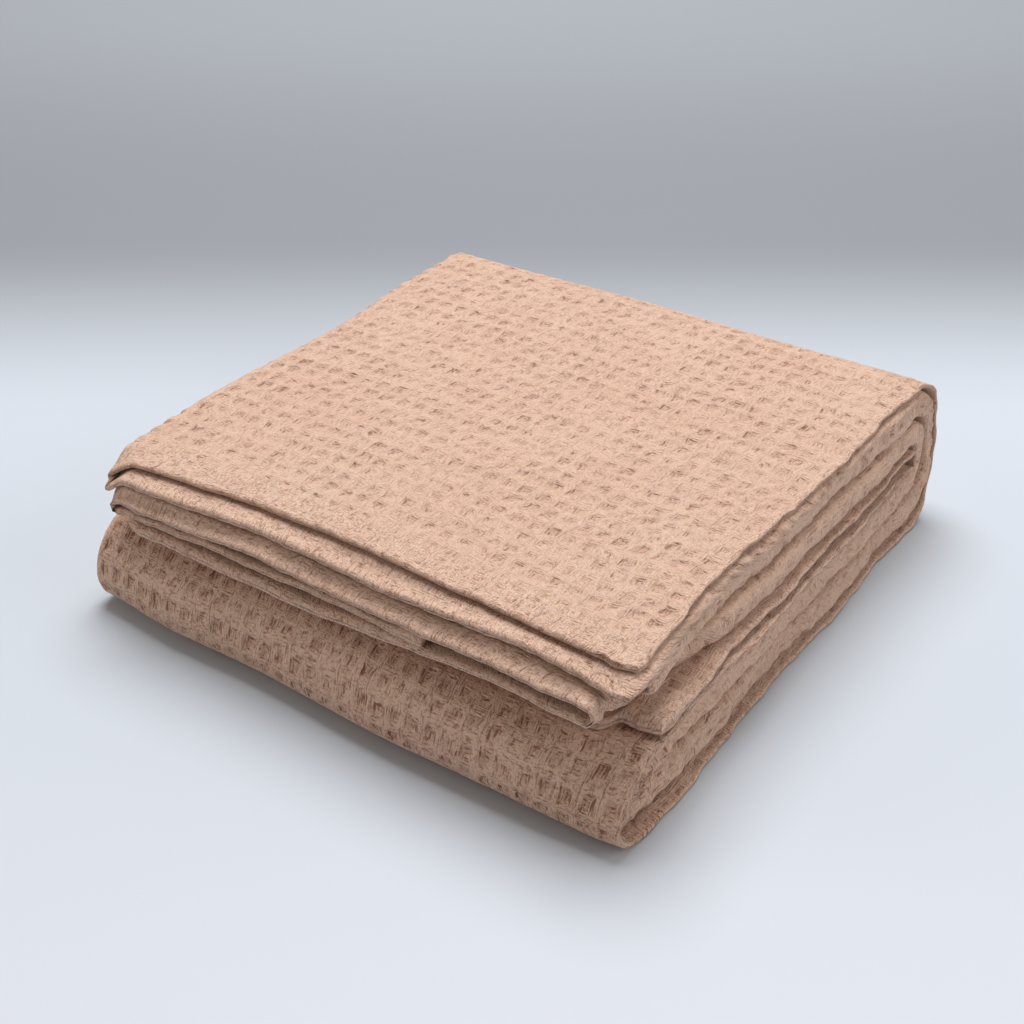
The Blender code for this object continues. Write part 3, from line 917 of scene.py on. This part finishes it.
def size_property(name, description, default, **more):
    return bpy.props.FloatProperty(name=name, description=description, default=default,
                                   unit="LENGTH", subtype="DISTANCE", precision=4, **more)


def colour_property(name, description, default):
    return bpy.props.FloatVectorProperty(name=name, description=description, default=default,
                                         size=4, subtype="COLOR", min=0.0, max=1.0)


class BlanketCloth(bpy.types.PropertyGroup):
    width: size_property("Stack width", "Across the folded stack", BOX_SIZE[0])
    length: size_property("Stack length", "From the front fold to the back fold", BOX_SIZE[1])
    height: size_property("Stack height", "From the floor to the top", BOX_SIZE[2])
    thickness: size_property("Cloth thickness", "Of one layer between the hems", 0.0038)
    hem_extra: size_property("Hem thickness", "Added where the cloth is turned under", 0.0002)
    cell_width: size_property("Cell width", "Waffle spacing across the panel", CELL_WIDTH)
    cell_length: size_property("Cell length", "Waffle spacing along the panel", CELL_LENGTH)
    pit_depth: size_property("Pit depth", "How deep a waffle pit is", 0.0008)
    ridge_height: size_property("Ridge height", "How far the ridges stand up", 0.0003)
    pit_share: bpy.props.FloatProperty(
        name="Pit share", description="Half a pit over a whole cell", default=0.30,
        min=0.1, max=0.5, subtype="FACTOR")
    unevenness: bpy.props.FloatProperty(
        name="Unevenness", description="How far rows and columns wander", default=0.5,
        min=0.0, max=1.0, subtype="FACTOR")
    seed: bpy.props.IntProperty(name="Seed", description="Choice of unevenness", default=7)


class BlanketColours(bpy.types.PropertyGroup):
    cotton: colour_property("Cotton", "Main colour of the yarn", (0.66, 0.445, 0.325, 1.0))
    warm: colour_property("Warm cotton", "Where the yarn looks pinker", (0.625, 0.385, 0.268, 1.0))
    pale: colour_property("Pale cotton", "Loose fibres on the surface", (0.74, 0.56, 0.45, 1.0))
    # the colour of the painted shade in the pits and in the gaps between the yarns
    pit: colour_property("Pits", "Down in the waffle", (0.275, 0.122, 0.069, 1.0))
    yarns: bpy.props.FloatProperty(
        name="Yarns", description="Yarns in one waffle cell, each way", default=8.0, min=2.0)


class BlanketStage(bpy.types.PropertyGroup):
    floor: colour_property("Floor", "Colour of the floor round the blanket", (0.535, 0.577, 0.622, 1.0))
    # the paler floor nearest the camera is painted light
    near: colour_property("Near floor", "Colour of the floor nearest the camera",
                          (0.605, 0.635, 0.68, 1.0))
    # the greyer floor far behind is painted shade
    far_shade: colour_property("Far floor", "Colour of the floor far behind", (0.234, 0.249, 0.267, 1.0))
    key_power: bpy.props.FloatProperty(
        name="Main light", description="Power of the main soft light", default=64.0, min=0.0)
    side_power: bpy.props.FloatProperty(
        name="Side light", description="Power of the soft light on the right", default=16.0, min=0.0)
    left_power: bpy.props.FloatProperty(
        name="Left light", description="Power of the weak light on the left", default=7.5, min=0.0)
    room: bpy.props.FloatProperty(
        name="Room light", description="Strength of the even light all round", default=0.26, min=0.0)


# ---------------------------------------------------------------- stage

# each light's place, the point it faces, its size and its colour
LIGHTS = {
    "main_light": ((-0.46, 0.70, 2.20), (0.0, 0.0, 0.0), 1.9, (0.98, 0.99, 1.03)),
    "left_light": ((-1.5, -1.3, 0.8), (0.0, 0.0, 0.05), 1.4, (1.0, 0.96, 0.92)),
    "side_light": ((1.9, 0.5, 1.1), (0.0, 0.0, 0.0), 1.8, (0.97, 0.98, 1.0)),
}
ROOM_COLOUR = (1.0, 0.93, 0.87, 1.0)
FLOOR_REACH = 6.0
FLOOR_AWAY = (-0.566, 0.824, 0.0)          # the way from the camera, along the floor
CAMERA_AZIMUTH, CAMERA_DROP = 34.481, 31.537
CAMERA_TARGET, CAMERA_DISTANCE = (-0.04188, 0.03784, 0.0), 1.06005
CAMERA_LENS, CAMERA_SENSOR = 60.92, 36.0   # mm


def make_floor(stage):
    """A wide floor: pale round the blanket, with a band of painted shade behind it that grows paler
    again far off, and painted light paler nearest the camera.
    """
    mesh = bpy.data.meshes.new("floor")
    mesh.from_pydata([(x * FLOOR_REACH, y * FLOOR_REACH, 0.0)
                      for x, y in ((-1, -1), (1, -1), (1, 1), (-1, 1))], [], [(0, 1, 2, 3)])
    material = bpy.data.materials.new("pale_floor")
    material.use_nodes = True
    w = Wiring(material.node_tree)
    shader = material.node_tree.nodes["Principled BSDF"]
    away = w.node("ShaderNodeVectorMath", operation="DOT_PRODUCT")
    w.feed(away.inputs[0], w.node("ShaderNodeTexCoord").outputs["Object"])
    away.inputs[1].default_value = FLOOR_AWAY
    away = away.outputs["Value"]
    # painted shade behind the blanket, fading again far off
    colour = w.blend(w.ramp(away, 0.160, 0.49), tuple(stage.floor), tuple(stage.far_shade))
    colour = w.blend(w.ramp(away, 0.55, 1.35, 0.0, 0.38), colour, tuple(stage.floor))
    # painted light nearest the camera
    colour = w.blend(w.ramp(away, -0.10, -0.42), colour, tuple(stage.near))
    w.feed(shader.inputs["Base Color"], colour)
    shader.inputs["Roughness"].default_value = 0.7
    mesh.materials.append(material)
    floor = bpy.data.objects.new("floor", mesh)
    bpy.context.scene.collection.objects.link(floor)
    return floor


def add_light(name, power):
    """One round soft light, turned to the point it faces."""
    place, target, size, colour = LIGHTS[name]
    data = bpy.data.lights.new(name, "AREA")
    data.shape, data.size, data.energy, data.color = "DISK", size, power, colour
    light = bpy.data.objects.new(name, data)
    light.location = place
    light.rotation_euler = (Vector(target) - Vector(place)).to_track_quat("-Z", "Y").to_euler()
    bpy.context.scene.collection.objects.link(light)


def place_camera():
    """The photograph's view: from the front, round to the right and above."""
    azimuth, drop = math.radians(CAMERA_AZIMUTH), math.radians(CAMERA_DROP)
    ahead = Vector((-math.sin(azimuth) * math.cos(drop), math.cos(azimuth) * math.cos(drop),
                    -math.sin(drop)))
    right = Vector((math.cos(azimuth), math.sin(azimuth), 0.0))
    data = bpy.data.cameras.new("camera")
    data.sensor_width, data.lens = CAMERA_SENSOR, CAMERA_LENS
    camera = bpy.data.objects.new("camera", data)
    matrix = Matrix((right, right.cross(ahead), -ahead)).transposed().to_4x4()
    matrix.translation = Vector(CAMERA_TARGET) - ahead * CAMERA_DISTANCE
    camera.matrix_world = matrix
    bpy.context.scene.collection.objects.link(camera)
    bpy.context.scene.camera = camera


# ---------------------------------------------------------------- operators

class BLANKET_OT_cloth(bpy.types.Operator):
    """Lay the cotton panel into its folds and press the waffle into it"""
    bl_idname = "blanket.cloth"
    bl_label = "Folded cloth"

    def execute(self, context):
        cloth = context.scene.blanket_cloth
        material = cloth_material(context.scene.blanket_colours, cloth.pit_share)
        tree = waffle_tree(material)
        values = {"Cell Width": cloth.cell_width, "Cell Length": cloth.cell_length,
                  "Pit Share": cloth.pit_share, "Pit Depth": cloth.pit_depth,
                  "Ridge Height": cloth.ridge_height, "Unevenness": cloth.unevenness,
                  "Hem Width": HEM_WIDTH, "Panel Length": PANEL_LENGTH,
                  "Seed": float(cloth.seed)}
        for name, rows, face, back in PIECES:
            piece = lay_piece(name, rows, face, back, cloth)
            press_waffle(piece, tree, values)
            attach(piece, BODY)
            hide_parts(NODE)
        return {"FINISHED"}


class BLANKET_OT_stage(bpy.types.Operator):
    """Set the floor, the soft lights and the camera"""
    bl_idname = "blanket.stage"
    bl_label = "Floor, lights and camera"

    def execute(self, context):
        stage = context.scene.blanket_stage
        make_floor(stage)
        for name, power in (("main_light", stage.key_power), ("left_light", stage.left_power),
                            ("side_light", stage.side_power)):
            add_light(name, power)
        world = bpy.data.worlds.new("soft_room")
        context.scene.world = world
        world.use_nodes = True
        background = world.node_tree.nodes["Background"]
        background.inputs["Color"].default_value = ROOM_COLOUR
        background.inputs["Strength"].default_value = stage.room
        place_camera()
        context.scene.view_settings.view_transform = "Standard"
        return {"FINISHED"}


class BLANKET_PT_panel(bpy.types.Panel):
    """The blanket's pieces and their settings"""
    bl_label = "Folded blanket"
    bl_idname = "BLANKET_PT_panel"
    bl_space_type = "VIEW_3D"
    bl_region_type = "UI"
    bl_category = "Blanket"

    def draw(self, context):
        scene = context.scene
        for group in (scene.blanket_cloth, scene.blanket_colours, scene.blanket_stage):
            box = self.layout.box()
            for name in group.bl_rna.properties.keys():
                if name not in ("rna_type", "name"):
                    box.prop(group, name)
        for operator in OPERATORS:
            self.layout.operator(operator.bl_idname)


GROUPS = {"blanket_cloth": BlanketCloth, "blanket_colours": BlanketColours,
          "blanket_stage": BlanketStage}
OPERATORS = (BLANKET_OT_cloth, BLANKET_OT_stage)
CLASSES = (*GROUPS.values(), *OPERATORS, BLANKET_PT_panel)


def register():
    for item in CLASSES:
        bpy.utils.register_class(item)
    for name, group in GROUPS.items():
        setattr(bpy.types.Scene, name, bpy.props.PointerProperty(type=group))


def unregister():
    for name in GROUPS:
        delattr(bpy.types.Scene, name)
    for item in reversed(CLASSES):
        bpy.utils.unregister_class(item)


def main():
    register()
    bpy.ops.blanket.cloth()
    bpy.ops.blanket.stage()


if __name__ == "__main__":
    main()
